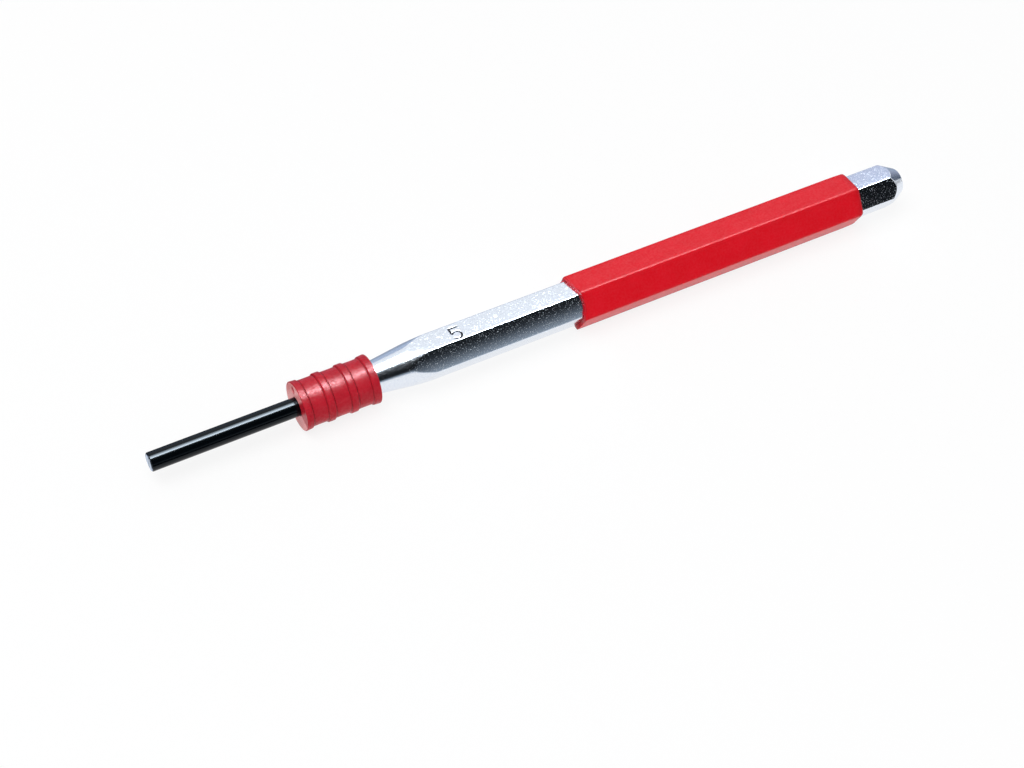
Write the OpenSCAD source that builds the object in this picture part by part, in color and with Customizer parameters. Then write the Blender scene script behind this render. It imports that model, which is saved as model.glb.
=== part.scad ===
// Pin punch: a hexagonal steel body with a round pin pressed into its nose,
// a soft grip sleeve pulled over its middle and a rubber guide collar that slides on the pin.
// X runs along the punch from the pin's tip to the struck head, and Z is up.
// The punch lies on a flat of its sleeve. The origin is on the floor, under the middle of its length.

/* [Pin] */
// Diameter of the round pin
pin_d = 5; // [2:0.5:7]
// Length of pin that stands out of the nose
pin_reach = 60; // [45:1:90]
// Length of pin pressed into the body
pin_seat = 24; // [12:1:30]
// Chamfer round the pin's driving end
pin_chamfer = 0.3; // [0.1:0.05:0.6]

/* [Body] */
// Width of the hexagonal bar across its flats
hex_af = 11; // [10:0.5:14]
// Length of the body from its nose to its head
body_len = 163; // [130:1:190]
// Diameter of the flat ring at the nose
nose_d = 8.6; // [7.5:0.1:9]
// Chamfer round the nose's front edge
nose_chamfer = 0.3; // [0.1:0.05:0.5]
// Slope of the nose cone, measured from the axis, in degrees
nose_slope = 7; // [5:0.5:12]
// Diameter of the flat struck face
head_d = 7; // [5:0.5:9]
// Slope of the head's chamfer, measured from the axis, in degrees
head_slope = 28; // [20:1:45]

/* [Sleeve] */
// Wall of the grip sleeve
sleeve_wall = 1.1; // [0.8:0.1:2]
// Length of the grip sleeve
sleeve_len = 88.5; // [60:0.5:110]
// Bare body between the sleeve and the head's end
sleeve_rear = 16; // [12:1:25]
// Rounding of the sleeve's six outer edges
sleeve_edge_r = 1; // [0.4:0.1:2]

/* [Collar] */
// Length of the guide collar
collar_len = 20.5; // [15:0.5:30]
// Radial clearance of the collar's bore on the pin
bore_clearance = 0.05; // [0.02:0.01:0.1]
// How far the collar's end flanges stand above its panels
flange_rise = 0.45; // [0.2:0.05:0.8]
// Width of each end flange
flange_w = 2; // [1:0.1:3]
// Rounding of the flanges' outer edges
flange_edge_r = 0.25; // [0.1:0.05:0.5]
// How far the two ribs stand above the panels
rib_rise = 0.35; // [0.2:0.05:0.7]
// Width of each rib at its foot
rib_w = 2; // [1:0.1:3]
// Distance of each rib's middle from the nearer end
rib_inset = 7.1; // [5:0.1:9]
// Diameter of the moulding gate's dimple in the front face
dimple_d = 2.2; // [1:0.1:2.5]
// Depth of the dimple
dimple_depth = 0.4; // [0.2:0.1:1]
// Lean of the dimple from the top, away from the viewer, in degrees
dimple_turn = 25; // [0:5:90]

/* [Hidden] */
$fn = 96;
edge_steps = 8;
over = 1;
pin_r = pin_d / 2;
total_len = pin_reach + body_len;
tip_x = -total_len / 2;
nose_x = tip_x + pin_reach;
head_x = total_len / 2;
axis_z = hex_af / 2 + sleeve_wall;
hex_corner_r = hex_af / sqrt(3);
turn_r = hex_corner_r + over;
nose_r = nose_d / 2;
head_r = head_d / 2;
nose_cone_len = (turn_r - nose_r) / tan(nose_slope);
head_cone_len = (turn_r - head_r) / tan(head_slope);
sleeve_x = head_x - sleeve_rear - sleeve_len;
collar_x = nose_x - collar_len;
collar_r = axis_z;
panel_r = collar_r - flange_rise;
bore_r = pin_r + bore_clearance;
rib_r = (rib_w * rib_w / 4 + rib_rise * rib_rise) / (2 * rib_rise);
dimple_offset = (bore_r + collar_r) / 2;

// Stands a shape that was made along Z on the punch's axis, starting at x.
module on_axis(x)
{
    translate([x, 0, axis_z])
        rotate([0, 90, 0])
            children();
}

// Hexagon with two flats level, given its width across flats.
module hexagon(af)
{
    rotate(30)
        circle(r = af / sqrt(3), $fn = 6);
}

// Hexagon with rounded corners: each corner is a short arc about a corner of a smaller hexagon.
module round_hexagon(af, edge_r)
{
    core_r = (af - 2 * edge_r) / sqrt(3);
    polygon([
        for (k = [0 : 5], i = [0 : edge_steps])
            core_r * [cos(60 * k + 30), sin(60 * k + 30)]
            + edge_r * [cos(60 * (k + i / edge_steps)), sin(60 * (k + i / edge_steps))]
    ]);
}

// Turned outline of the body: nose ring, long cone, full bar and head chamfer.
module turning()
{
    rotate_extrude()
        polygon([
            [0, 0],
            [nose_r - nose_chamfer, 0],
            [nose_r + nose_chamfer * tan(nose_slope), nose_chamfer],
            [turn_r, nose_cone_len],
            [turn_r, body_len - head_cone_len],
            [head_r, body_len],
            [0, body_len]
        ]);
}

module hex_body()
{
    color([0.80, 0.82, 0.86])
        on_axis(nose_x)
            difference()
            {
                intersection()
                {
                    linear_extrude(height = body_len)
                        hexagon(hex_af);
                    turning();
                }
                translate([0, 0, -over])
                    cylinder(r = pin_r, h = pin_seat + over);
            }
}

module drive_pin()
{
    color([0.05, 0.05, 0.06])
        on_axis(tip_x)
            rotate_extrude()
                polygon([
                    [0, 0],
                    [pin_r - pin_chamfer, 0],
                    [pin_r, pin_chamfer],
                    [pin_r, pin_reach + pin_seat],
                    [0, pin_reach + pin_seat]
                ]);
}

module grip_sleeve()
{
    color([0.80, 0.05, 0.12])
        on_axis(sleeve_x)
            linear_extrude(height = sleeve_len)
                difference()
                {
                    round_hexagon(hex_af + 2 * sleeve_wall, sleeve_edge_r);
                    hexagon(hex_af);
                }
}

// Half section of an end flange: a band with its two outer edges rounded.
module flange_section(x)
{
    translate([bore_r, x])
        square([collar_r - flange_edge_r - bore_r, flange_w]);
    translate([bore_r, x + flange_edge_r])
        square([collar_r - bore_r, flange_w - 2 * flange_edge_r]);
    for (y = [x + flange_edge_r, x + flange_w - flange_edge_r])
        translate([collar_r - flange_edge_r, y])
            circle(r = flange_edge_r);
}

// Half section of the collar: bore wall, panels, two flanges and two round ribs.
module collar_section()
{
    translate([bore_r, 0])
        square([panel_r - bore_r, collar_len]);
    flange_section(0);
    flange_section(collar_len - flange_w);
    for (y = [rib_inset, collar_len - rib_inset])
        translate([panel_r + rib_rise - rib_r, y])
            circle(r = rib_r);
}

module guide_collar()
{
    color([0.70, 0.11, 0.17])
        on_axis(collar_x)
            difference()
            {
                rotate_extrude()
                    collar_section();
                rotate(180 - dimple_turn)
                    translate([dimple_offset, 0, -over])
                        cylinder(d = dimple_d, h = dimple_depth + over);
            }
}

hex_body();
drive_pin();
grip_sleeve();
guide_collar();
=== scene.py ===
# %% [markdown]
# # Dressing a pin punch
# A pin punch is a hexagonal steel bar with a slim round pin in its nose. A soft sleeve covers the
# bar where the hand holds it, and a rubber collar on the pin guides the punch on the work.
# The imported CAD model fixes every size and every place. This lesson lays a finer skin over each of
# its four pieces and gives each skin the finish of the real material.

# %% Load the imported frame
import math

import bpy
import numpy as np
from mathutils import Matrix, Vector


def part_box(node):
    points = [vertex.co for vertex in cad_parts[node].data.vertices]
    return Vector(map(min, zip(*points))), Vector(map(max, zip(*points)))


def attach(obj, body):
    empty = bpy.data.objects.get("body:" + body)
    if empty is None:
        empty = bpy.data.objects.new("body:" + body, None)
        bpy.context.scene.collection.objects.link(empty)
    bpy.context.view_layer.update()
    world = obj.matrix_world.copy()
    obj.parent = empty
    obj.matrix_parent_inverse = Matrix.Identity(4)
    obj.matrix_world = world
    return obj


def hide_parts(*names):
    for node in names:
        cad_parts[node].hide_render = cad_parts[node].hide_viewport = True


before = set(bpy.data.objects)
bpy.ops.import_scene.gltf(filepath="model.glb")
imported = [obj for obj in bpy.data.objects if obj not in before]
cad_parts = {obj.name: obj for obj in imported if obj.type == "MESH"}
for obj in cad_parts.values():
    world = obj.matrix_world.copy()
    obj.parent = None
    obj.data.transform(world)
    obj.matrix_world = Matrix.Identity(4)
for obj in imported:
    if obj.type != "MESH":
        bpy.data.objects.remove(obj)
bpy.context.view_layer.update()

# %% [markdown]
# ## Measures
# Copying sizes by hand would let the skin drift away from the CAD, so the main ones are read from
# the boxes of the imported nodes. Only what a box can't tell, such as a slope, is written here.
# Blender works in metres, and MM keeps the numbers readable.

# %% Read the main sizes from the frame
MM = 0.001
pin_low, pin_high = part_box("drive_pin")
bar_low, bar_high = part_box("hex_body")
sleeve_low, sleeve_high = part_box("grip_sleeve")
collar_low, collar_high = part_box("guide_collar")

AXIS_Z = (pin_low.z + pin_high.z) / 2
PIN_R = (pin_high.z - pin_low.z) / 2
BAR_HALF = (bar_high.z - bar_low.z) / 2
SLEEVE_HALF = (sleeve_high.z - sleeve_low.z) / 2
COLLAR_R = (collar_high.z - collar_low.z) / 2
TIP_X, PIN_END_X = pin_low.x, pin_high.x
NOSE_X, HEAD_X = bar_low.x, bar_high.x
print("axis height, pin radius, half flats of bar and sleeve, collar radius in mm:",
      [round(v / MM, 3) for v in (AXIS_Z, PIN_R, BAR_HALF, SLEEVE_HALF, COLLAR_R)])

# %% [markdown]
# ## Skins from grids
# Every piece here is turned or hexagonal about one axis, so each can be written as a radius that
# depends on a place along a profile and on an angle round the axis. That gives a grid of points,
# and one function turns any such grid into a closed mesh. A modelling tool could spin a profile
# too, but a formula also makes the hexagon, the cone and the curve where they meet.

# %% Points round the axis
def on_axis(x, r, angle):
    """Point at x along the punch, r from its axis, and angle round it from the top to the front:
    (x, -r sin angle, axis height + r cos angle)."""
    x, r, angle = np.broadcast_arrays(x, r, angle)
    return np.stack([x, -r * np.sin(angle), AXIS_Z + r * np.cos(angle)], axis=-1)


print("top of the pin's tip in mm:", (on_axis(TIP_X, PIN_R, 0.0) / MM).round(2).tolist())


# %% Grid to mesh
def skin(name, rows, loop=False, poles=()):
    """Closed mesh over rows of points that run round the axis. With loop, the last row joins the
    first; otherwise a fan closes each end to its pole, where the profile meets the axis."""
    n, m = rows.shape[:2]
    i = np.arange(n if loop else n - 1)[:, None]
    j = np.arange(m)[None, :]
    near, far = i * m, (i + 1) % n * m
    after = (j + 1) % m
    quads = np.stack([near + j, near + after, far + after, far + j], -1).reshape(-1, 4).tolist()
    points = rows.reshape(-1, 3)
    faces = quads
    if len(poles):
        points = np.vstack([points, poles])
        ring = np.arange(m)
        turn = (ring + 1) % m
        first = np.stack([np.full(m, n * m), turn, ring], -1)
        last = np.stack([(n - 1) * m + ring, (n - 1) * m + turn, np.full(m, n * m + 1)], -1)
        faces = quads + first.tolist() + last.tolist()
    mesh = bpy.data.meshes.new(name)
    mesh.from_pydata(points.tolist(), [], faces)
    mesh.update()
    mesh.shade_smooth()
    piece = bpy.data.objects.new(name, mesh)
    bpy.context.scene.collection.objects.link(piece)
    print(name, "has", len(points), "points and", len(faces), "faces")
    return piece


# %% Profiles with rounded corners
ARC_STEPS = 6


def rounded(corners, radii):
    """Profile through the corners, with inner corner k replaced by an arc of radius radii[k] that is
    tangent to both its sides: the arc starts and ends radius / tan(half the angle between the sides)
    away from the corner. Radius 0 keeps the corner."""
    corners = np.asarray(corners, float)
    made = [corners[:1]]
    for before, here, after, radius in zip(corners[:-2], corners[1:-1], corners[2:], radii):
        if radius == 0:
            made.append(here[None])
            continue
        back = (before - here) / np.linalg.norm(before - here)
        ahead = (after - here) / np.linalg.norm(after - here)
        half = math.acos(np.clip(back @ ahead, -1, 1)) / 2
        middle = back + ahead
        centre = here + middle / np.linalg.norm(middle) * radius / math.sin(half)
        start = here + back * radius / math.tan(half) - centre
        end = here + ahead * radius / math.tan(half) - centre
        sweep = np.linspace(0, 1, ARC_STEPS + 1)[:, None]
        spread = math.pi - 2 * half
        arc = np.sin((1 - sweep) * spread) * start + np.sin(sweep * spread) * end
        made.append(centre + arc / math.sin(spread))
    made.append(corners[-1:])
    return np.vstack(made)


def divided(profile, step):
    """Profile with points added so that no stretch is longer than step(x, r), given at its middle."""
    made = [profile[:1]]
    for a, b in zip(profile[:-1], profile[1:]):
        count = max(1, math.ceil(np.linalg.norm(b - a) / step(*(a + b) / 2)))
        made.append(a + (b - a) * np.linspace(0, 1, count + 1)[1:, None])
    return np.vstack(made)


# %% [markdown]
# ## The hexagon
# A hexagon could be six flat faces with a bevel, but a rolled bar has faces that are a little
# proud in the middle and edges that are a little worn. Both fall out of one formula: the inverse
# radius is the power mean of what the six faces would give. A high power keeps the edges crisp.

# %% Hexagon as a function of the angle
SIXTH = math.pi / 3
EVEN_SHARE = 0.3
EDGE_SHARE = 0.7


def hexagon(angle, half, crispness, crown=0.0):
    """Radius of a hexagon with rounded edges, half its width across flats from the axis to a face:
    (sum over the faces of max(0, cos(angle - face angle) / half) ** crispness) ** (-1 / crispness).
    crown lowers each face to its edges by that length times the square of the place across it."""
    angle = np.asarray(angle, float)
    across = (angle + SIXTH / 2) % SIXTH - SIXTH / 2
    reach = half - crown * (np.tan(across) / math.tan(SIXTH / 2)) ** 2
    faces = np.cos(angle[..., None] - SIXTH * np.arange(6))
    crispness = np.asarray(crispness, float)
    mean = (np.maximum(faces, 0) ** crispness[..., None]).sum(-1)
    return reach * mean ** (-1 / crispness)


def face_angles(counts):
    """Angles round the axis with counts[k] steps on face k, drawn closer together near the edges:
    half a face times 0.3 u + 0.7 sin(u pi / 2), for even steps of u from -1 to 1."""
    made = []
    for face, count in enumerate(counts):
        u = np.linspace(-1, 1, count + 1)[:-1]
        across = EVEN_SHARE * u + EDGE_SHARE * np.sin(u * math.pi / 2)
        made.append(SIXTH * face + SIXTH / 2 * across)
    return np.concatenate(made)


# %% [markdown]
# ## The plated body
# The bar is turned to a long cone at the nose and to a chamfer at the head, and plated. It could be
# a hexagonal prism cut by a cone with a boolean, which leaves sharp, uneven faces. Here the turned
# outline is a profile of corners, and the body is the smaller of hexagon and outline at each point.
# A smooth minimum leaves the fine worn edge where cone and flats meet. A blind bore takes the pin.

# %% Turned outline of the body
NOSE_R = 4.3 * MM
NOSE_CHAMFER = 0.3 * MM
NOSE_SLOPE = math.radians(7)
HEAD_R = 3.5 * MM
HEAD_SLOPE = math.radians(28)
HEAD_ROUND = 0.9 * MM
SOFT_CORNER = 0.08 * MM
CLEAR_OF_HEX = 6.8 * MM
BORE_END_X = PIN_END_X + 0.02 * MM
BORE_R = PIN_R + 0.01 * MM
STAMP_X = NOSE_X + 24.0 * MM
STAMP_WIDTH = 2.7 * MM


def body_outline():
    """Half section with soft corners: bore, nose ring, cone, full bar, chamfer and struck face. The
    bar has a point on each side of the stamp, so that the rows between them can be finer."""
    cone_end = NOSE_X + (CLEAR_OF_HEX - NOSE_R) / math.tan(NOSE_SLOPE)
    chamfer_start = HEAD_X - (CLEAR_OF_HEX - HEAD_R) / math.tan(HEAD_SLOPE)
    corners = [
        (BORE_END_X, 0.5 * BORE_R),
        (BORE_END_X, BORE_R),
        (NOSE_X, BORE_R),
        (NOSE_X, NOSE_R - NOSE_CHAMFER),
        (NOSE_X + NOSE_CHAMFER, NOSE_R + NOSE_CHAMFER * math.tan(NOSE_SLOPE)),
        (cone_end, CLEAR_OF_HEX),
        (STAMP_X - STAMP_WIDTH, CLEAR_OF_HEX),
        (STAMP_X + STAMP_WIDTH, CLEAR_OF_HEX),
        (chamfer_start, CLEAR_OF_HEX),
        (HEAD_X, HEAD_R),
        (HEAD_X, 0.3 * HEAD_R),
    ]
    return rounded(corners, [SOFT_CORNER] * 4 + [0] * 4 + [HEAD_ROUND])


print("the body's outline has", len(body_outline()), "points")

# %% Rows of the body
BORE_ROWS = 4.0 * MM
STAMP_ROWS = 0.08 * MM
TURNED_ROWS = 0.18 * MM
BAR_ROWS = 2.5 * MM
CONE_REACH = 20 * MM
CHAMFER_REACH = 8 * MM


def body_step(x, r):
    """Spacing of the rows: fine on the stamp, the cone and the chamfer, coarse on the plain bar and
    in the bore."""
    if r < (BORE_R + NOSE_R) / 2:
        return BORE_ROWS
    if abs(x - STAMP_X) < STAMP_WIDTH:
        return STAMP_ROWS
    if x < NOSE_X + CONE_REACH or x > HEAD_X - CHAMFER_REACH:
        return TURNED_ROWS
    return BAR_ROWS


print("the body has", len(divided(body_outline(), body_step)), "rows")

# %% [markdown]
# ### The size number
# The pin's diameter is struck into the top face as a plain numeral. It could be cut from a text
# object, with long thin faces round each letter. Here every stroke is a line or an arc, and the
# depth at a point follows from its distance to the nearest stroke, which gives soft struck walls.

# %% Plain size number stamped in the top face
STAMP_Y = -0.5 * MM
STAMP_HEIGHT = 4.0 * MM
STROKE = 0.30 * MM
SOFT_WALL = 0.7
BAR_INSET = 0.2 * MM
FOOT_INSET = 0.15 * MM
FOOT_RISE = 0.75
BOWL_SHARE = 0.31
BOWL_INSET = 0.1 * MM
BOWL_OPENING = math.radians(145)


def smoothstep(t):
    """0 below 0, 1 above 1, and 3t^2 - 2t^3 between them."""
    t = np.clip(t, 0, 1)
    return t * t * (3 - 2 * t)


def from_stroke(x, y, start, end):
    """Distance from (x, y) to the straight stroke from start to end."""
    dx, dy = end[0] - start[0], end[1] - start[1]
    t = np.clip(((x - start[0]) * dx + (y - start[1]) * dy) / (dx * dx + dy * dy), 0, 1)
    return np.hypot(x - start[0] - t * dx, y - start[1] - t * dy)


def from_arc(x, y, centre, radius, first, last):
    """Distance from (x, y) to the arc that runs from angle first up to angle last, in radians."""
    dx, dy = x - centre[0], y - centre[1]
    turn = (np.arctan2(dy, dx) - first) % (2 * math.pi)
    on_arc = np.abs(np.hypot(dx, dy) - radius)
    ends = [np.hypot(dx - radius * math.cos(a), dy - radius * math.sin(a)) for a in (first, last)]
    return np.where(turn <= last - first, on_arc, np.minimum(*ends))


def stamped_five(x, y):
    """How deep, from 0 to 1, the numeral 5 is stamped at (x, y) of the top face: a top bar, a short
    upright and a bowl that is an arc, each cut with soft walls."""
    x, y = x - STAMP_X, y - STAMP_Y
    left, right, top = -STAMP_WIDTH / 2, STAMP_WIDTH / 2, STAMP_HEIGHT / 2
    bowl_r = STAMP_HEIGHT * BOWL_SHARE
    bowl = (right - bowl_r - BOWL_INSET, -top + bowl_r)
    corner = (left + BAR_INSET, top)
    foot = (left + FOOT_INSET, bowl[1] + bowl_r * FOOT_RISE)
    reach = np.minimum.reduce([
        from_stroke(x, y, corner, (right - BAR_INSET, top)),
        from_stroke(x, y, corner, foot),
        from_arc(x, y, bowl, bowl_r, -BOWL_OPENING, BOWL_OPENING),
    ])
    return smoothstep((STROKE - reach) / (STROKE * SOFT_WALL))


# %% Skin of the body
BAR_CRISPNESS = 100
MEET_CRISPNESS = 150
FACE_CROWN = 0.10 * MM
BODY_STEPS = [76, 36, 36, 36, 36, 36]
STAMP_DEPTH = 0.16 * MM
# How far up the struck walls the stamp's dirt and painted shade reach.
STAMP_DIRT_AND_SHADE = 0.25
TURNED_FADE = 0.15 * MM
FACED_DEPTH = 0.02 * MM


def mark(piece, name, values):
    """Stores one number for each point of the piece, which a finish can read by that name."""
    numbers = piece.data.attributes.new(name, "FLOAT", "POINT")
    numbers.data.foreach_set("value", np.ravel(values).astype(np.float32))


def plated_body():
    """Rows of the smooth minimum of hexagon a and outline b: a (1 + (a / b) ** q) ** (-1 / q)."""
    profile = divided(body_outline(), body_step)
    x, outline = profile[:, :1], profile[:, 1:]
    angle = face_angles(BODY_STEPS)[None, :]
    bar = hexagon(angle, BAR_HALF, BAR_CRISPNESS, FACE_CROWN)
    r = bar * (1 + (bar / outline) ** MEET_CRISPNESS) ** (-1 / MEET_CRISPNESS)
    rows = on_axis(x, r, angle)
    on_top = (np.abs(angle) < SIXTH / 2) & (outline > BAR_HALF)
    stamp = np.where(on_top, stamped_five(rows[..., 0], rows[..., 1]), 0)
    rows[..., 2] -= STAMP_DEPTH * stamp
    piece = skin("plated_body", rows, poles=[(BORE_END_X, 0, AXIS_Z), (HEAD_X, 0, AXIS_Z)])
    # Dirt and painted shade: where this mark is high, the finish paints the stamp dark.
    mark(piece, "stamp", np.append(smoothstep(stamp / STAMP_DIRT_AND_SHADE), [0, 0]))
    mark(piece, "turned", np.append(smoothstep((bar - outline) / TURNED_FADE), [1, 1]))
    faced = (x < NOSE_X + FACED_DEPTH) & (outline > BORE_R) | (x > HEAD_X - FACED_DEPTH)
    mark(piece, "faced", np.append(np.broadcast_to(faced, r.shape), [0, 1]))
    return piece


body = plated_body()
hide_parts("hex_body")
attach(body, "punch")

# %% [markdown]
# ## The black pin
# The pin is a hard drawn rod, blackened, with its end ground square and bright. It is a plain
# profile carried round the axis. A cylinder primitive would have a knife edge at the tip, which no
# ground pin has, so the profile gets a small chamfer with soft corners.

# %% Skin of the pin
PIN_CHAMFER = 0.3 * MM
PIN_EDGE = 0.07 * MM
PIN_POLE_R = 0.2 * PIN_R
PIN_ROWS = 1.0 * MM
PIN_STEPS = 96


def black_pin():
    """Rows of a profile carried round the axis: face, chamfer, long side and hidden end."""
    corners = [
        (TIP_X, PIN_POLE_R),
        (TIP_X, PIN_R - PIN_CHAMFER),
        (TIP_X + PIN_CHAMFER, PIN_R),
        (PIN_END_X, PIN_R),
        (PIN_END_X, PIN_POLE_R),
    ]
    profile = divided(rounded(corners, [PIN_EDGE] * 3), lambda x, r: PIN_ROWS)
    angle = np.linspace(0, 2 * math.pi, PIN_STEPS, endpoint=False)[None, :]
    rows = on_axis(profile[:, :1], profile[:, 1:], angle)
    return skin("black_pin", rows, poles=[(TIP_X, 0, AXIS_Z), (PIN_END_X, 0, AXIS_Z)])


pin = black_pin()
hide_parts("drive_pin")
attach(pin, "punch")

# %% [markdown]
# ## The vinyl sleeve
# The sleeve is a soft tube stretched over the bar, so it follows the six faces with rounder edges.
# A bevelled prism with a hole would do for a stiff sleeve. Here the wall's section is a closed loop
# in two measures, the place along the punch and the height above the bar. Carried round the axis it
# makes a closed ring of skin, inside and outside at once, and any measure may vary with the angle.
# So the stretched front lip draws back over the side faces, and the edges are rounder at the rear.

# %% Skin of the sleeve
SLEEVE_CRISPNESS = 32
REAR_CRISPNESS = 17
REAR_FADE = 6.0 * MM
INNER_ROUND = 0.1 * MM
FRONT_ROUND = 0.2 * MM
REAR_ROUND = 1.0 * MM
LIP_DRAW = 0.5 * MM
LIP_SKEW = 0.5 * MM
LIP_FADE = 6.0 * MM
# How far the painted shade at the sleeve's ends reaches along it.
FRONT_SHADE_REACH = 0.25 * MM
REAR_SHADE_REACH = 1.8 * MM
SLEEVE_ROWS = 1.5 * MM
SLEEVE_STEPS = 30


def vinyl_sleeve():
    """Rows of bar radius + height * (sleeve radius - bar radius), for height from 0 to 1 round the
    wall's section. Near the front lip x gains, fading along the sleeve,
    draw * sin^2 angle * (1 + cos 6 angle) / 2 + skew * sin 2 angle."""
    wall = SLEEVE_HALF - BAR_HALF
    front, rear = sleeve_low.x, sleeve_high.x
    middle = (front + rear) / 2
    corners = [(middle, 0), (front, 0), (front, wall), (rear, wall), (rear, 0), (middle, 0)]
    section = rounded(corners, [INNER_ROUND, FRONT_ROUND, REAR_ROUND, INNER_ROUND])
    profile = divided(section, lambda x, height: SLEEVE_ROWS)[:-1]
    x, height = profile[:, :1], profile[:, 1:] / wall
    angle = face_angles([SLEEVE_STEPS] * 6)[None, :]
    inner = hexagon(angle, BAR_HALF, BAR_CRISPNESS)
    worn = smoothstep((x - rear + REAR_FADE) / REAR_FADE)
    crispness = SLEEVE_CRISPNESS + (REAR_CRISPNESS - SLEEVE_CRISPNESS) * worn
    outer = hexagon(angle, SLEEVE_HALF, crispness)
    fade = 1 - smoothstep((x - front) / LIP_FADE)
    draw = LIP_DRAW * np.sin(angle) ** 2 * (1 + np.cos(6 * angle)) / 2
    drawn = x + fade * (draw + LIP_SKEW * np.sin(2 * angle))
    rows = on_axis(drawn, inner + height * (outer - inner), angle)
    piece = skin("vinyl_sleeve", rows, loop=True)
    # Painted shade: the sleeve's ends are marked, and the finish paints them darker.
    rim = np.maximum(smoothstep((front + FRONT_SHADE_REACH - x) / FRONT_SHADE_REACH),
                     smoothstep((x - rear + REAR_SHADE_REACH) / REAR_SHADE_REACH))
    mark(piece, "rim", np.broadcast_to(rim, drawn.shape))
    return piece


sleeve = vinyl_sleeve()
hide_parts("grip_sleeve")
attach(sleeve, "punch")

# %% [markdown]
# ## The rubber collar
# The collar is moulded rubber: two end flanges, two ribs and panels that are a little waisted
# between them. It could be a stack of rings, but one moulding has no joins. Its outside is a sum of
# simple bumps along the length, so each rib is one term and runs softly into its panel.
# The small round gate mark in the front face is a dent in the rows of that face.

# %% Outside of the collar
COLLAR_LEN = collar_high.x - collar_low.x
FLANGE_RISE = 0.45 * MM
FLANGE_W = 2.0 * MM
FLANGE_SIDE = 0.3 * MM
FLANGE_FLARE = 0.15 * MM
COLLAR_EDGE = 0.15 * MM
RIB_RISE = 0.35 * MM
RIB_W = 2.0 * MM
RIB_SIDE = 0.25 * MM
RIB_INSET = 7.1 * MM
WAIST = 0.03 * MM
GROOVE = 0.08 * MM
GROOVE_W = 0.2 * MM


def from_foot(x):
    """Distance from x to the middle of the nearest groove, at the foot of a rib or a flange."""
    from_end = np.minimum(x, COLLAR_LEN - x)
    beside = np.abs(from_end - RIB_INSET)
    rib_foot = np.abs(beside - RIB_W / 2 - GROOVE_W / 2)
    return np.minimum(rib_foot, np.abs(from_end - FLANGE_W - GROOVE_W / 2))


def collar_outside(x):
    """Radius at x from the front face: panels, plus a rise with soft sides on each flange and each
    rib, less a waist of depth * (1 - cos) / 2 between them, less a quarter round at each end, less
    a groove along each foot. Each flange is lower on its inner side, so it flares outwards."""
    r = np.full_like(x, COLLAR_R - FLANGE_RISE)
    from_end = np.minimum(x, COLLAR_LEN - x)
    flange = smoothstep((FLANGE_W - from_end) / FLANGE_SIDE)
    flare = FLANGE_FLARE * np.clip(from_end / FLANGE_W, 0, 1)
    rib = RIB_RISE * smoothstep((RIB_W / 2 - np.abs(from_end - RIB_INSET)) / RIB_SIDE)
    pitch = RIB_INSET - FLANGE_W / 2
    waist = WAIST * (1 - np.cos(2 * math.pi * (from_end - RIB_INSET) / pitch)) / 2
    edge = np.clip(COLLAR_EDGE - from_end, 0, COLLAR_EDGE)
    quarter = COLLAR_EDGE - np.sqrt(COLLAR_EDGE ** 2 - edge ** 2)
    groove = GROOVE * smoothstep(1 - from_foot(x) / GROOVE_W)
    return r + (FLANGE_RISE - flare) * flange + rib - waist * (1 - flange) - quarter - groove


# %% Section of the collar
COLLAR_BORE_R = PIN_R + 0.05 * MM
BORE_LIP = 0.15 * MM
GROOVE_ROWS = 0.06 * MM
PANEL_ROWS = 0.4 * MM
GROOVE_REACH = 0.7 * MM
STATIONS = 60
FACE_ROWS = 40
TUBE_ROWS = 12


def collar_step(x, r):
    """Spacing of the rows: fine beside the grooves, coarse on the panels."""
    return GROOVE_ROWS if from_foot(x) < GROOVE_REACH else PANEL_ROWS


def collar_section():
    """The four stretches of a closed section, as (x from the front face, radius): the outside, then
    the rear face inwards, the bore towards the front and the front face outwards."""
    edge = COLLAR_EDGE * (1 - np.cos(np.linspace(0, math.pi / 2, 7)))
    stations = np.linspace(COLLAR_EDGE, COLLAR_LEN - COLLAR_EDGE, STATIONS)
    inside = divided(np.stack([stations, 0 * stations], -1), collar_step)[1:-1, 0]
    x = np.concatenate([edge, inside, (COLLAR_LEN - edge)[::-1]])
    outside = np.stack([x, collar_outside(x)], -1)
    radial = np.linspace(COLLAR_R - COLLAR_EDGE, COLLAR_BORE_R + BORE_LIP, FACE_ROWS)[1:]
    rear = np.stack([np.full_like(radial, COLLAR_LEN), radial], -1)
    lip = BORE_LIP * (1 - np.cos(np.linspace(0, math.pi, 9))) / 2
    tube = np.linspace(BORE_LIP, COLLAR_LEN - BORE_LIP, TUBE_ROWS)[1:-1]
    bore_x = np.concatenate([lip, tube, COLLAR_LEN - lip[::-1]])
    bore = np.stack([bore_x[::-1], np.full_like(bore_x, COLLAR_BORE_R)], -1)
    front = np.stack([np.zeros_like(radial), radial[::-1]], -1)
    return outside, rear, bore, front


print("rows of outside, rear face, bore and front face:", [len(part) for part in collar_section()])

# %% Skin of the collar
GATE_R = 1.1 * MM
GATE_DEPTH = 0.4 * MM
GATE_WALL = 0.25
GATE_ANGLE = math.radians(-25)
# Where the painted sheen on the front face is left out, and the share of it on the rear face.
SHEEN_GAP_ANGLE = math.radians(75)
SHEEN_GAP_EDGE = 0.7
SHEEN_GAP_FADE = 0.15
REAR_SHEEN_SHARE = 0.35
COLLAR_STEPS = 160


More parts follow.
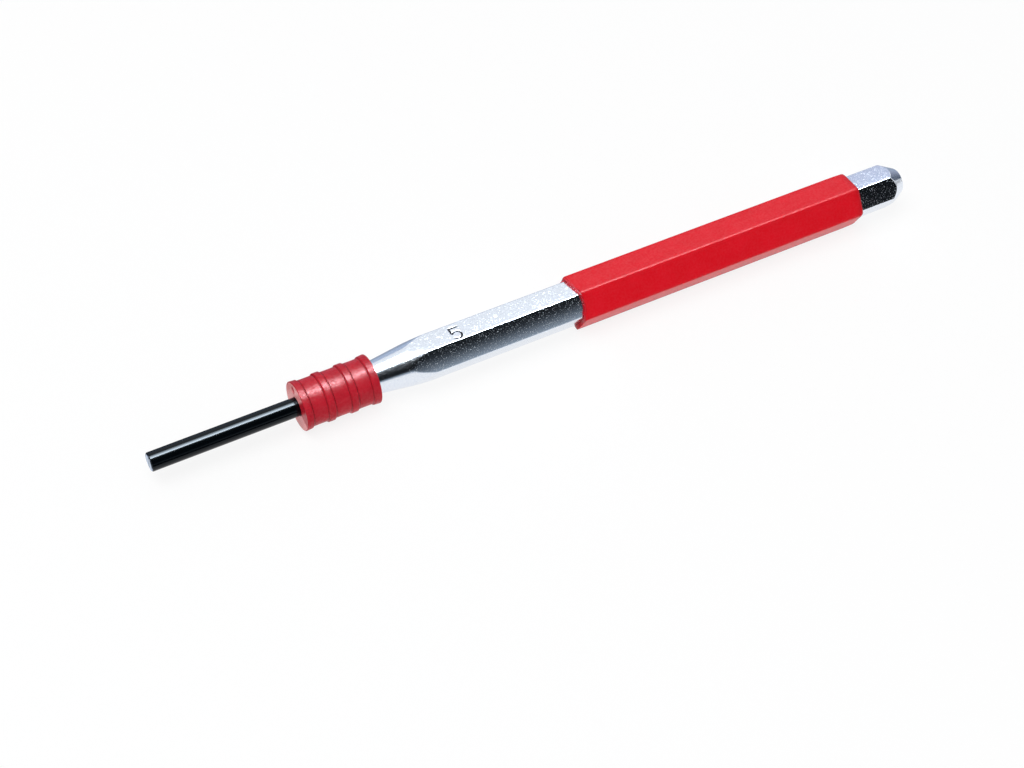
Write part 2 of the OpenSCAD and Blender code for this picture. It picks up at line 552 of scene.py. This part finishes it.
def rubber_collar():
    """Rows of the section carried round the axis. The gate's dent pushes the front face inwards by
    its depth times a smooth step of the distance from its middle. The painted sheen on that face is
    left out round one angle, where the cosine of the angle from it is large."""
    outside, rear, bore, front = collar_section()
    section = np.vstack([outside, rear, bore, front])
    angle = np.linspace(0, 2 * math.pi, COLLAR_STEPS, endpoint=False)[None, :]
    rows = on_axis(collar_low.x + section[:, :1], section[:, 1:], angle)
    on_front = slice(-len(front), None)
    gate = on_axis(0, (COLLAR_BORE_R + COLLAR_R) / 2, GATE_ANGLE)
    away = np.hypot(rows[on_front, :, 1] - gate[1], rows[on_front, :, 2] - gate[2])
    dent = smoothstep((GATE_R - away) / (GATE_WALL * GATE_R))
    rows[on_front, :, 0] += GATE_DEPTH * dent
    piece = skin("rubber_collar", rows, loop=True)
    # Painted sheen: pale pink on the end faces, less on the rear face, and none in the gate's dent nor
    # in the gap.
    painted_sheen = np.zeros(rows.shape[:2])
    painted_sheen[len(outside):len(outside) + len(rear)] = REAR_SHEEN_SHARE
    sheen_gap = smoothstep((np.cos(angle - SHEEN_GAP_ANGLE) - SHEEN_GAP_EDGE) / SHEEN_GAP_FADE)
    painted_sheen[on_front] = 1 - np.maximum(dent, sheen_gap)
    mark(piece, "end_face", painted_sheen)
    # Painted shade: the grooves at the foot of each rib and flange are marked, and the finish paints
    # them deeper red.
    foot = np.zeros(rows.shape[:2])
    foot[:len(outside)] = smoothstep(1 - from_foot(outside[:, :1]) / GROOVE_W)
    mark(piece, "foot", foot)
    return piece


collar = rubber_collar()
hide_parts("guide_collar")
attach(collar, "collar")

# %% [markdown]
# ## Finishes
# A finish is a Principled shader with its roughness and its relief drawn by noise in the piece's
# own coordinates, so it needs no picture and stays put when the camera moves. Nodes could be wired
# by hand in the editor. Small helpers keep each finish as short as a recipe: one adds a noise, one
# maps it to a range, one mixes two colours and one makes a relief.

# %% Materials and nodes
def new_finish(name, **values):
    """Material with a Principled shader whose sockets are set from values."""
    material = bpy.data.materials.new(name)
    material.use_nodes = True
    tree = material.node_tree
    shader = tree.nodes["Principled BSDF"]
    for socket, value in values.items():
        shader.inputs[socket.replace("_", " ")].default_value = value
    return material, tree, shader


def add(tree, kind, **values):
    """Node of that kind with the named properties set."""
    node = tree.nodes.new(kind)
    for key, value in values.items():
        setattr(node, key, value)
    return node


def marked(tree, name):
    """The numbers that mark() stored under that name."""
    return add(tree, "ShaderNodeAttribute", attribute_name=name).outputs["Fac"]


def put_on(piece, material):
    """Gives the piece its finish."""
    piece.data.materials.append(material)
    print(piece.name, "wears", material.name, "of", len(material.node_tree.nodes), "nodes")


# %% Noise and ranges
NOISE_MIDDLE = (0.35, 0.65)
NOISE_WIDE = (0.3, 0.7)


def noise(tree, scale, detail=2.0, stretch=(1, 1, 1)):
    """Noise over the piece's own coordinates, scale in cycles per metre along an axis of stretch 1."""
    place = add(tree, "ShaderNodeTexCoord")
    turn = add(tree, "ShaderNodeMapping")
    turn.inputs["Scale"].default_value = stretch
    made = add(tree, "ShaderNodeTexNoise")
    made.inputs["Scale"].default_value = scale
    made.inputs["Detail"].default_value = detail
    tree.links.new(place.outputs["Object"], turn.inputs["Vector"])
    tree.links.new(turn.outputs["Vector"], made.inputs["Vector"])
    return made.outputs["Fac"]


def ranged(tree, value, span, onto=(0, 1)):
    """value mapped from the span to the range onto, and held at its ends."""
    node = add(tree, "ShaderNodeMapRange")
    for socket, number in zip(("From Min", "From Max", "To Min", "To Max"), (*span, *onto)):
        node.inputs[socket].default_value = number
    tree.links.new(value, node.inputs["Value"])
    return node.outputs["Result"]


# %% Colours and relief
def tinted(tree, value, colour_low, colour_high):
    """Colour that goes from colour_low to colour_high, each fixed or made by nodes, as value goes
    from 0 to 1."""
    node = add(tree, "ShaderNodeMix", data_type="RGBA")
    sockets = [s for s in node.inputs if s.type == "RGBA"]
    for socket, colour in zip(sockets, (colour_low, colour_high)):
        if isinstance(colour, tuple):
            socket.default_value = colour
        else:
            tree.links.new(colour, socket)
    tree.links.new(value, node.inputs["Factor"])
    return next(s for s in node.outputs if s.type == "RGBA")


def combined(tree, operation, one, other):
    """Two values put together by a Math node, such as the smaller or the larger of them."""
    node = add(tree, "ShaderNodeMath", operation=operation)
    tree.links.new(one, node.inputs[0])
    tree.links.new(other, node.inputs[1])
    return node.outputs["Value"]


def relief(tree, value, distance, strength=1.0):
    """Normal of a relief that is value times distance, in metres, high."""
    node = add(tree, "ShaderNodeBump")
    node.inputs["Distance"].default_value = distance
    node.inputs["Strength"].default_value = strength
    tree.links.new(value, node.inputs["Height"])
    return node.outputs["Normal"]


# %% [markdown]
# ### Satin plating
# The bar is plated over a lightly grained surface, so it sparkles: most of it mirrors the room and
# small grains catch the lamp. One even roughness would blur the mirror without any sparkle, so the
# peaks of a fine noise are made rough and the rest stays clear. The turned cone and chamfer have
# rings from the lathe in place of grain, and the faced ends show theirs as circles. The stamp is
# painted dark and matt, for its dirt and as painted shade in the struck strokes.

# %% Patterns of the plating
GRAINS = 3600
RINGS = 4200
RING_STRETCH = (1, 0.04, 0.04)
FACING = 3500


def circles(tree, scale):
    """Noise that changes with the distance from the punch's axis alone, in cycles per metre."""
    place = add(tree, "ShaderNodeTexCoord")
    centred = add(tree, "ShaderNodeMapping")
    centred.inputs["Location"].default_value = (0, 0, -AXIS_Z)
    centred.inputs["Scale"].default_value = (0, 1, 1)
    distance = add(tree, "ShaderNodeVectorMath", operation="LENGTH")
    made = add(tree, "ShaderNodeTexNoise", noise_dimensions="1D")
    made.inputs["Scale"].default_value = scale
    tree.links.new(place.outputs["Object"], centred.inputs["Vector"])
    tree.links.new(centred.outputs["Vector"], distance.inputs[0])
    tree.links.new(distance.outputs["Value"], made.inputs["W"])
    return made.outputs["Fac"]


def blended(tree, value, normal_low, normal_high):
    """Normal that goes from normal_low to normal_high as value goes from 0 to 1."""
    node = add(tree, "ShaderNodeMix", data_type="VECTOR")
    sockets = [s for s in node.inputs if s.type == "VECTOR" and s.name in "AB"]
    tree.links.new(value, node.inputs["Factor"])
    tree.links.new(normal_low, sockets[0])
    tree.links.new(normal_high, sockets[1])
    return next(s for s in node.outputs if s.type == "VECTOR")


# %% Plated steel
PLATE = (0.84, 0.88, 0.94, 1)
PLATE_DULL = (0.73, 0.78, 0.87, 1)
# Dirt and painted shade in the stamp.
PLATE_IN_STAMP = (0.03, 0.033, 0.04, 1)
FACED = (0.62, 0.64, 0.68, 1)
FACED_DARK = (0.40, 0.41, 0.44, 1)
GRAIN_PEAKS = (0.62, 0.75)
GRAIN_ROUGH = (0.15, 0.48)
MOST_ROUGH = (0.6, 0.26)
GRAIN_HEIGHT = 0.006 * MM


def plated_steel():
    """Mirror with rough grains. Roughness is the smaller of what the grain gives and a limit that
    falls from flat to turned places."""
    material, tree, shader = new_finish("plated_steel", Specular_IOR_Level=0.05)
    stamp, turned, faced = (marked(tree, name) for name in ("stamp", "turned", "faced"))
    tree.links.new(ranged(tree, stamp, (0, 1), (1, 0)), shader.inputs["Metallic"])
    speckle = ranged(tree, noise(tree, GRAINS), NOISE_MIDDLE)
    ringed = tinted(tree, ranged(tree, circles(tree, FACING), NOISE_MIDDLE), FACED_DARK, FACED)
    plate = tinted(tree, faced, tinted(tree, speckle, PLATE_DULL, PLATE), ringed)
    # The stamp is painted dark, for dirt and as painted shade.
    tree.links.new(tinted(tree, stamp, plate, PLATE_IN_STAMP), shader.inputs["Base Color"])
    grain = noise(tree, GRAINS, 1)
    rough = ranged(tree, grain, GRAIN_PEAKS, GRAIN_ROUGH)
    limit = ranged(tree, turned, (0, 1), MOST_ROUGH)
    tree.links.new(combined(tree, "MINIMUM", rough, limit), shader.inputs["Roughness"])
    flat_bump = relief(tree, grain, GRAIN_HEIGHT)
    ring_bump = relief(tree, noise(tree, RINGS, 1, RING_STRETCH), GRAIN_HEIGHT)
    tree.links.new(blended(tree, turned, flat_bump, ring_bump), shader.inputs["Normal"])
    return material


put_on(body, plated_steel())

# %% [markdown]
# ### Black oxide
# The pin is black and glossy with faint drawing lines along it, which are a noise stretched along
# the pin. Its ground end is bare steel with short scratches. That could be a second material on the
# end face. One finish that changes ahead of a plane just behind the tip also takes in the chamfer's
# rim, whatever the mesh.

# %% Black steel
BLACK = (0.001, 0.002, 0.003, 1)
OXIDE_SHEEN = (0.84, 0.92, 1.0, 1)
BARE = (0.62, 0.67, 0.84, 1)
BARE_DARK = (0.03, 0.04, 0.06, 1)
GROUND_X = TIP_X + 0.12 * MM
GROUND_FADE = 0.024 * MM
SCRATCHES = 900
SCRATCH_STRETCH = (1, 1.3, 0.2)
SCRATCH_SPAN = (0.47, 0.6)
DRAWN_LINES = 2500
DRAWN_STRETCH = (0.02, 1, 1)
OXIDE_ROUGH = (0.11, 0.15)
DRAWN_HEIGHT = 0.001 * MM


def black_steel():
    """Black gloss behind the plane of the ground end, and scratched bare metal ahead of it."""
    material, tree, shader = new_finish("black_steel", IOR=1.5, Specular_IOR_Level=0.23,
                                        Specular_Tint=OXIDE_SHEEN)
    place = add(tree, "ShaderNodeTexCoord")
    split = add(tree, "ShaderNodeSeparateXYZ")
    tree.links.new(place.outputs["Object"], split.inputs["Vector"])
    ground = ranged(tree, split.outputs["X"], (GROUND_X, GROUND_X + GROUND_FADE), (1, 0))
    scratches = ranged(tree, noise(tree, SCRATCHES, 2, SCRATCH_STRETCH), SCRATCH_SPAN)
    bare = tinted(tree, scratches, BARE_DARK, BARE)
    tree.links.new(tinted(tree, ground, BLACK, bare), shader.inputs["Base Color"])
    tree.links.new(ground, shader.inputs["Metallic"])
    lines = noise(tree, DRAWN_LINES, 2, DRAWN_STRETCH)
    tree.links.new(ranged(tree, lines, NOISE_WIDE, OXIDE_ROUGH), shader.inputs["Roughness"])
    tree.links.new(relief(tree, lines, DRAWN_HEIGHT, 0.4), shader.inputs["Normal"])
    return material


put_on(pin, black_steel())

# %% [markdown]
# ### Red vinyl
# Soft vinyl is bright and has only a low sheen. A plain red would look like paint, so its gloss is
# a little uneven and its colour drifts slowly where the wall is thicker. Its ends are painted
# darker, as painted shade on their rounded edges.
# More gloss would whiten every face. A thin coat that bends light only a little mirrors at low
# angles alone, so just the narrow lower face picks up the white floor.

# %% Red vinyl
VINYL = (0.71, 0.001, 0.010, 1)
VINYL_LIGHT = (0.74, 0.002, 0.013, 1)
# Painted shade for the sleeve's ends.
VINYL_PAINTED_SHADE = (0.50, 0.001, 0.009, 1)
VINYL_GLOSS = (0.06, 0.16)
VINYL_ROUGH = (0.38, 0.48)
VINYL_HEIGHT = 0.012 * MM


def red_vinyl():
    """Red that drifts and is painted darker at its ends as shade, with its gloss, its roughness and
    its relief each drawn by a noise, under a thin coat."""
    material, tree, shader = new_finish("red_vinyl", IOR=1.5, Coat_Weight=1.0, Coat_IOR=1.1,
                                        Coat_Roughness=0.25)
    gloss = ranged(tree, noise(tree, 1800), NOISE_MIDDLE, VINYL_GLOSS)
    drift = ranged(tree, noise(tree, 150, 3), NOISE_MIDDLE)
    # Painted shade: darker red at the ends.
    colour = tinted(tree, marked(tree, "rim"), tinted(tree, drift, VINYL, VINYL_LIGHT), VINYL_PAINTED_SHADE)
    rough = ranged(tree, noise(tree, 700), NOISE_WIDE, VINYL_ROUGH)
    tree.links.new(gloss, shader.inputs["Specular IOR Level"])
    tree.links.new(colour, shader.inputs["Base Color"])
    tree.links.new(rough, shader.inputs["Roughness"])
    tree.links.new(relief(tree, noise(tree, 900, 3), VINYL_HEIGHT, 0.5), shader.inputs["Normal"])
    return material


put_on(sleeve, red_vinyl())

# %% [markdown]
# ### Red rubber
# Moulded rubber is duller and darker than vinyl, and a fine relief breaks up its broad highlight.
# The grooves are painted deeper red, as painted shade in the corners. The end faces are painted pale
# pink in patches, a painted sheen of the light that they catch. The sheen could be a second material,
# but marks on the points let it be patchy and left out in places.

# %% Red rubber
RUBBER = (0.45, 0.007, 0.020, 1)
RUBBER_LIGHT = (0.53, 0.013, 0.028, 1)
# Painted shade for the grooves.
RUBBER_PAINTED_SHADE = (0.24, 0.003, 0.010, 1)
# Painted sheen: the pale pink of the end faces, in patches.
PAINTED_SHEEN_PINK = (0.97, 0.35, 0.35, 1)
SHEEN_PATCH_SPAN = (0.38, 0.5)
SHEEN_PATCH_SHARE = (0.68, 1)
RUBBER_GLOSS = (0.10, 0.26)
RUBBER_ROUGH = (0.28, 0.38)
RUBBER_HEIGHT = 0.02 * MM


def red_rubber():
    """Red that drifts, with painted shade deeper in the grooves. The painted sheen is the smaller of
    the face's mark and patches.
    """
    material, tree, shader = new_finish("red_rubber", IOR=1.5)
    gloss = ranged(tree, noise(tree, 1600), NOISE_MIDDLE, RUBBER_GLOSS)
    drift = ranged(tree, noise(tree, 260, 3), NOISE_MIDDLE)
    plain = tinted(tree, drift, RUBBER, RUBBER_LIGHT)
    # Painted shade: deeper red in the grooves.
    groove_shaded = tinted(tree, marked(tree, "foot"), plain, RUBBER_PAINTED_SHADE)
    # Painted sheen: pale pink in patches on the end faces.
    patchy = ranged(tree, noise(tree, 1900), SHEEN_PATCH_SPAN, SHEEN_PATCH_SHARE)
    painted_sheen = combined(tree, "MINIMUM", marked(tree, "end_face"), patchy)
    rough = ranged(tree, noise(tree, 1500), NOISE_WIDE, RUBBER_ROUGH)
    tree.links.new(gloss, shader.inputs["Specular IOR Level"])
    tree.links.new(tinted(tree, painted_sheen, groove_shaded, PAINTED_SHEEN_PINK), shader.inputs["Base Color"])
    tree.links.new(rough, shader.inputs["Roughness"])
    tree.links.new(relief(tree, noise(tree, 1900, 3), RUBBER_HEIGHT, 0.5), shader.inputs["Normal"])
    return material


put_on(collar, red_rubber())

# %% [markdown]
# ## The floor
# The punch lies on a plain white floor. White paper under soft light comes out a little grey, and
# more light would bleach the punch as well. So the floor is mostly shown as white to the camera and
# in reflections, and the rest of it is lit paper, which keeps the shadow.

# %% Floor
FLOOR_HALF = 5.0
FLOOR_WHITE = (0.96, 0.96, 0.96, 1)
SHOWN_WHITE = 0.85


def flat_stage(name, corners):
    """Four-cornered sheet that is no part of the object, with an empty material. Gives the sheet,
    the material's nodes and its output's socket."""
    mesh = bpy.data.meshes.new(name)
    mesh.from_pydata(corners, [], [(0, 1, 2, 3)])
    sheet = bpy.data.objects.new(name, mesh)
    bpy.context.scene.collection.objects.link(sheet)
    material = bpy.data.materials.new(name)
    material.use_nodes = True
    tree = material.node_tree
    tree.nodes.clear()
    mesh.materials.append(material)
    return sheet, tree, add(tree, "ShaderNodeOutputMaterial").inputs["Surface"]


def level(x, y, z):
    """Corners of a level sheet from x[0] to x[1] and y[0] to y[1] at height z."""
    return [(x[0], y[0], z), (x[1], y[0], z), (x[1], y[1], z), (x[0], y[1], z)]


def looked_at(tree):
    """1 for rays from the camera, from reflections and through glass, and 0 for light and shade."""
    path = add(tree, "ShaderNodeLightPath").outputs
    seen = combined(tree, "MAXIMUM", path["Is Camera Ray"], path["Is Glossy Ray"])
    return combined(tree, "MAXIMUM", seen, path["Is Transmission Ray"])


def white_floor():
    """Lit paper mixed with plain white, which only rays that look at the floor meet."""
    whole = (-FLOOR_HALF, FLOOR_HALF)
    floor, tree, surface = flat_stage("floor", level(whole, whole, 0))
    paper = add(tree, "ShaderNodeBsdfDiffuse")
    paper.inputs["Color"].default_value = FLOOR_WHITE
    shown = add(tree, "ShaderNodeEmission")
    mix = add(tree, "ShaderNodeMixShader")
    share = ranged(tree, looked_at(tree), (0, 1), (0, SHOWN_WHITE))
    tree.links.new(share, mix.inputs["Fac"])
    tree.links.new(paper.outputs["BSDF"], mix.inputs[1])
    tree.links.new(shown.outputs["Emission"], mix.inputs[2])
    tree.links.new(mix.outputs["Shader"], surface)
    print("floor is", 2 * FLOOR_HALF, "m wide")


white_floor()

# %% [markdown]
# ## Cards for reflections
# Polished metal shows whatever stands before it, so in a plain white room it would look like white
# plastic. A studio puts black and white cards round it, out of the picture. These cards are seen by
# reflections only, and light nothing: a dark flag in front gives the front face its depth, a bright
# panel overhead gives the edges their lines, and pale walls and a dim floor behind tint the rest.

# %% A card
CLOTH = (0.003, 0.004, 0.005, 1)
CARD_Z = 0.5 * MM
FADE_POWER = 1.5


def card(name, corners, colour, glow=1.0, fade=None, beyond=CLOTH):
    """Flat card that only reflections see. With fade, an axis and two places along it, its colour
    goes over to the one beyond with the power 1.5 of the way left between those places."""
    piece, tree, surface = flat_stage(name, corners)
    shown = add(tree, "ShaderNodeEmission")
    shown.inputs["Color"].default_value = colour
    shown.inputs["Strength"].default_value = glow
    if fade:
        axis, first, last = fade
        place = add(tree, "ShaderNodeTexCoord")
        split = add(tree, "ShaderNodeSeparateXYZ")
        tree.links.new(place.outputs["Object"], split.inputs["Vector"])
        left = add(tree, "ShaderNodeMath", operation="POWER")
        tree.links.new(ranged(tree, split.outputs[axis], (first, last), (1, 0)), left.inputs[0])
        left.inputs[1].default_value = FADE_POWER
        tree.links.new(tinted(tree, left.outputs["Value"], beyond, colour), shown.inputs["Color"])
    tree.links.new(shown.outputs["Emission"], surface)
    piece.visible_camera = False
    piece.visible_diffuse = False
    piece.visible_shadow = False
    print("card", name, "glows", glow)


def upright(x, y, z):
    """Corners of an upright sheet across the view, from x[0] to x[1] and z[0] to z[1] at y."""
    return [(x[0], y, z[0]), (x[1], y, z[0]), (x[1], y, z[1]), (x[0], y, z[1])]


# %% Dark flag in front and panel overhead
FLAG_X = (-1.6, 0.55, 2.2)
FLAG_Y = (-1.0, -0.018)
FLAG_Z = (0, 2.6)
FLAG_HAZE = (0.0, 0.275)
HAZE = (0.55, 0.65, 0.76, 1)
FOOT_GAP = (-0.055, 0.14)
PANEL_X = (-0.35, 0.76)
PANEL_Y = (-0.21, 0.62)
PANEL_Z = 1.1
PANEL_COLOUR = (0.88, 0.95, 1.0, 1)
PANEL_GLOW = 60.0

card("flag_a", upright(FLAG_X[:2], FLAG_Y[0], FLAG_Z), HAZE, fade=("Z", *FLAG_HAZE))
card("flag_b", upright(FLAG_X[1:], FLAG_Y[0], FLAG_Z), CLOTH)
card("foot_a", level((FLAG_X[0], FOOT_GAP[0]), FLAG_Y, CARD_Z), CLOTH)
card("foot_b", level((FOOT_GAP[1], FLAG_X[2]), FLAG_Y, CARD_Z), CLOTH)
card("panel", level(PANEL_X, PANEL_Y, PANEL_Z), PANEL_COLOUR, PANEL_GLOW, ("Y", *PANEL_Y))

# %% Walls and floor behind and beside
ROOM_COLOUR = (0.97, 0.985, 1.0, 1)
WALL_X = (-2.5, 1.25, 3.5)
WALL_Y = 1.7
WALL_LOW = (0, 1.0)
WALL_HIGH = (0, 5.0)
WALL_COLOUR = (0.46, 0.54, 0.69, 1)
BLUE_WALL = (0.58, 0.62, 0.77, 1)
BACK_Y = (0.012, 1.7)
BACK_FADE = (-0.07, -0.045)
BACK_DARK = (0.008, 0.012, 0.016, 1)
BACK_COLOUR = (0.34, 0.40, 0.50, 1)
DIM_X = (-2.5, 0.1)
DIM_Z = (1.0, 2.6)
DIM_COLOUR = (0.04, 0.05, 0.06, 1)
SIDE_X = 1.0
SIDE_Y = (-0.03, 1.15)
SIDE_Z = (0, 0.30)
SIDE_COLOUR = (0.02, 0.04, 0.07, 1)


def sideways(x, y, z):
    """Corners of an upright sheet along the view, from y[0] to y[1] and z[0] to z[1] at x."""
    return [(x, y[0], z[0]), (x, y[1], z[0]), (x, y[1], z[1]), (x, y[0], z[1])]


card("wall_a", upright(WALL_X[:2], WALL_Y, WALL_LOW), WALL_COLOUR)
card("wall_b", upright(WALL_X[1:], WALL_Y, WALL_HIGH), BLUE_WALL)
card("foot_c", level((WALL_X[0], WALL_X[2]), BACK_Y, CARD_Z), BACK_DARK, fade=("X", *BACK_FADE),
     beyond=BACK_COLOUR)
card("wall_c", upright(DIM_X, WALL_Y, DIM_Z), DIM_COLOUR, fade=("Z", *DIM_Z), beyond=ROOM_COLOUR)
card("side", sideways(SIDE_X, SIDE_Y, SIDE_Z), SIDE_COLOUR, fade=("Y", *SIDE_Y), beyond=BLUE_WALL)

# %% [markdown]
# ## Lamp and room
# One broad lamp overhead gives soft shade, as for a catalogue picture, and the white room fills the
# shadows. A sun would draw hard shadows. The room is white where it is looked at and dimmer as a
# light, so that colours come out about as they are written.

# %% Lamp and surroundings
LAMP_AT = Vector((-0.35, -0.1, 1.2))
LAMP_SIZE = (1.3, 0.7)
LAMP_WATTS = 9.6
ROOM_WHITE = 0.95
ROOM_FILL = 0.52


def overhead_lamp():
    """Broad lamp that points at the origin and doesn't show in reflections, where the panel does."""
    lamp = bpy.data.lights.new("overhead", "AREA")
    lamp.shape = "RECTANGLE"
    lamp.size, lamp.size_y = LAMP_SIZE
    lamp.energy = LAMP_WATTS
    holder = bpy.data.objects.new("overhead", lamp)
    holder.location = LAMP_AT
    holder.rotation_mode = "QUATERNION"
    holder.rotation_quaternion = (-LAMP_AT).to_track_quat("-Z", "Y")
    holder.visible_glossy = False
    bpy.context.scene.collection.objects.link(holder)


def white_room():
    """World that is near white where it is looked at and dimmer as a light."""
    world = bpy.data.worlds.new("room")
    world.use_nodes = True
    tree = world.node_tree
    back = tree.nodes["Background"]
    back.inputs["Color"].default_value = ROOM_COLOUR
    strength = ranged(tree, looked_at(tree), (0, 1), (ROOM_FILL, ROOM_WHITE))
    tree.links.new(strength, back.inputs["Strength"])
    bpy.context.scene.world = world


overhead_lamp()
white_room()
print("lamp of", LAMP_WATTS, "W and a room of", ROOM_FILL)

# %% [markdown]
# ## Camera
# The camera's place and lens were worked out from the straight edges of the punch, so the punch
# lands on the same pixels. Placing it by eye would leave the edges a few degrees off. It looks
# along a level horizon, with no shift.

# %% Camera
AZIMUTH = math.radians(-28.564)
ELEVATION = math.radians(45.488)
CAMERA_AT = Vector((-192.56, -333.66, 371.35)) * MM
FOCAL_PIXELS = 2026.8
IMAGE_WIDTH = 1024
SENSOR = 36.0


def fitted_camera():
    """Camera that looks along (-sin azimuth cos elevation, cos azimuth cos elevation,
    -sin elevation), with its focal length in pixels turned into millimetres of its sensor."""
    lens = bpy.data.cameras.new("camera")
    lens.sensor_width = SENSOR
    lens.lens = FOCAL_PIXELS / IMAGE_WIDTH * SENSOR
    lens.clip_start, lens.clip_end = 0.01, 50
    camera = bpy.data.objects.new("camera", lens)
    ahead = Vector((-math.sin(AZIMUTH) * math.cos(ELEVATION),
                    math.cos(AZIMUTH) * math.cos(ELEVATION),
                    -math.sin(ELEVATION)))
    camera.location = CAMERA_AT
    camera.rotation_mode = "QUATERNION"
    camera.rotation_quaternion = ahead.to_track_quat("-Z", "Y")
    bpy.context.scene.collection.objects.link(camera)
    bpy.context.scene.camera = camera
    print("lens of", round(lens.lens, 2), "mm")


fitted_camera()
bpy.context.scene.view_settings.view_transform = "Standard"
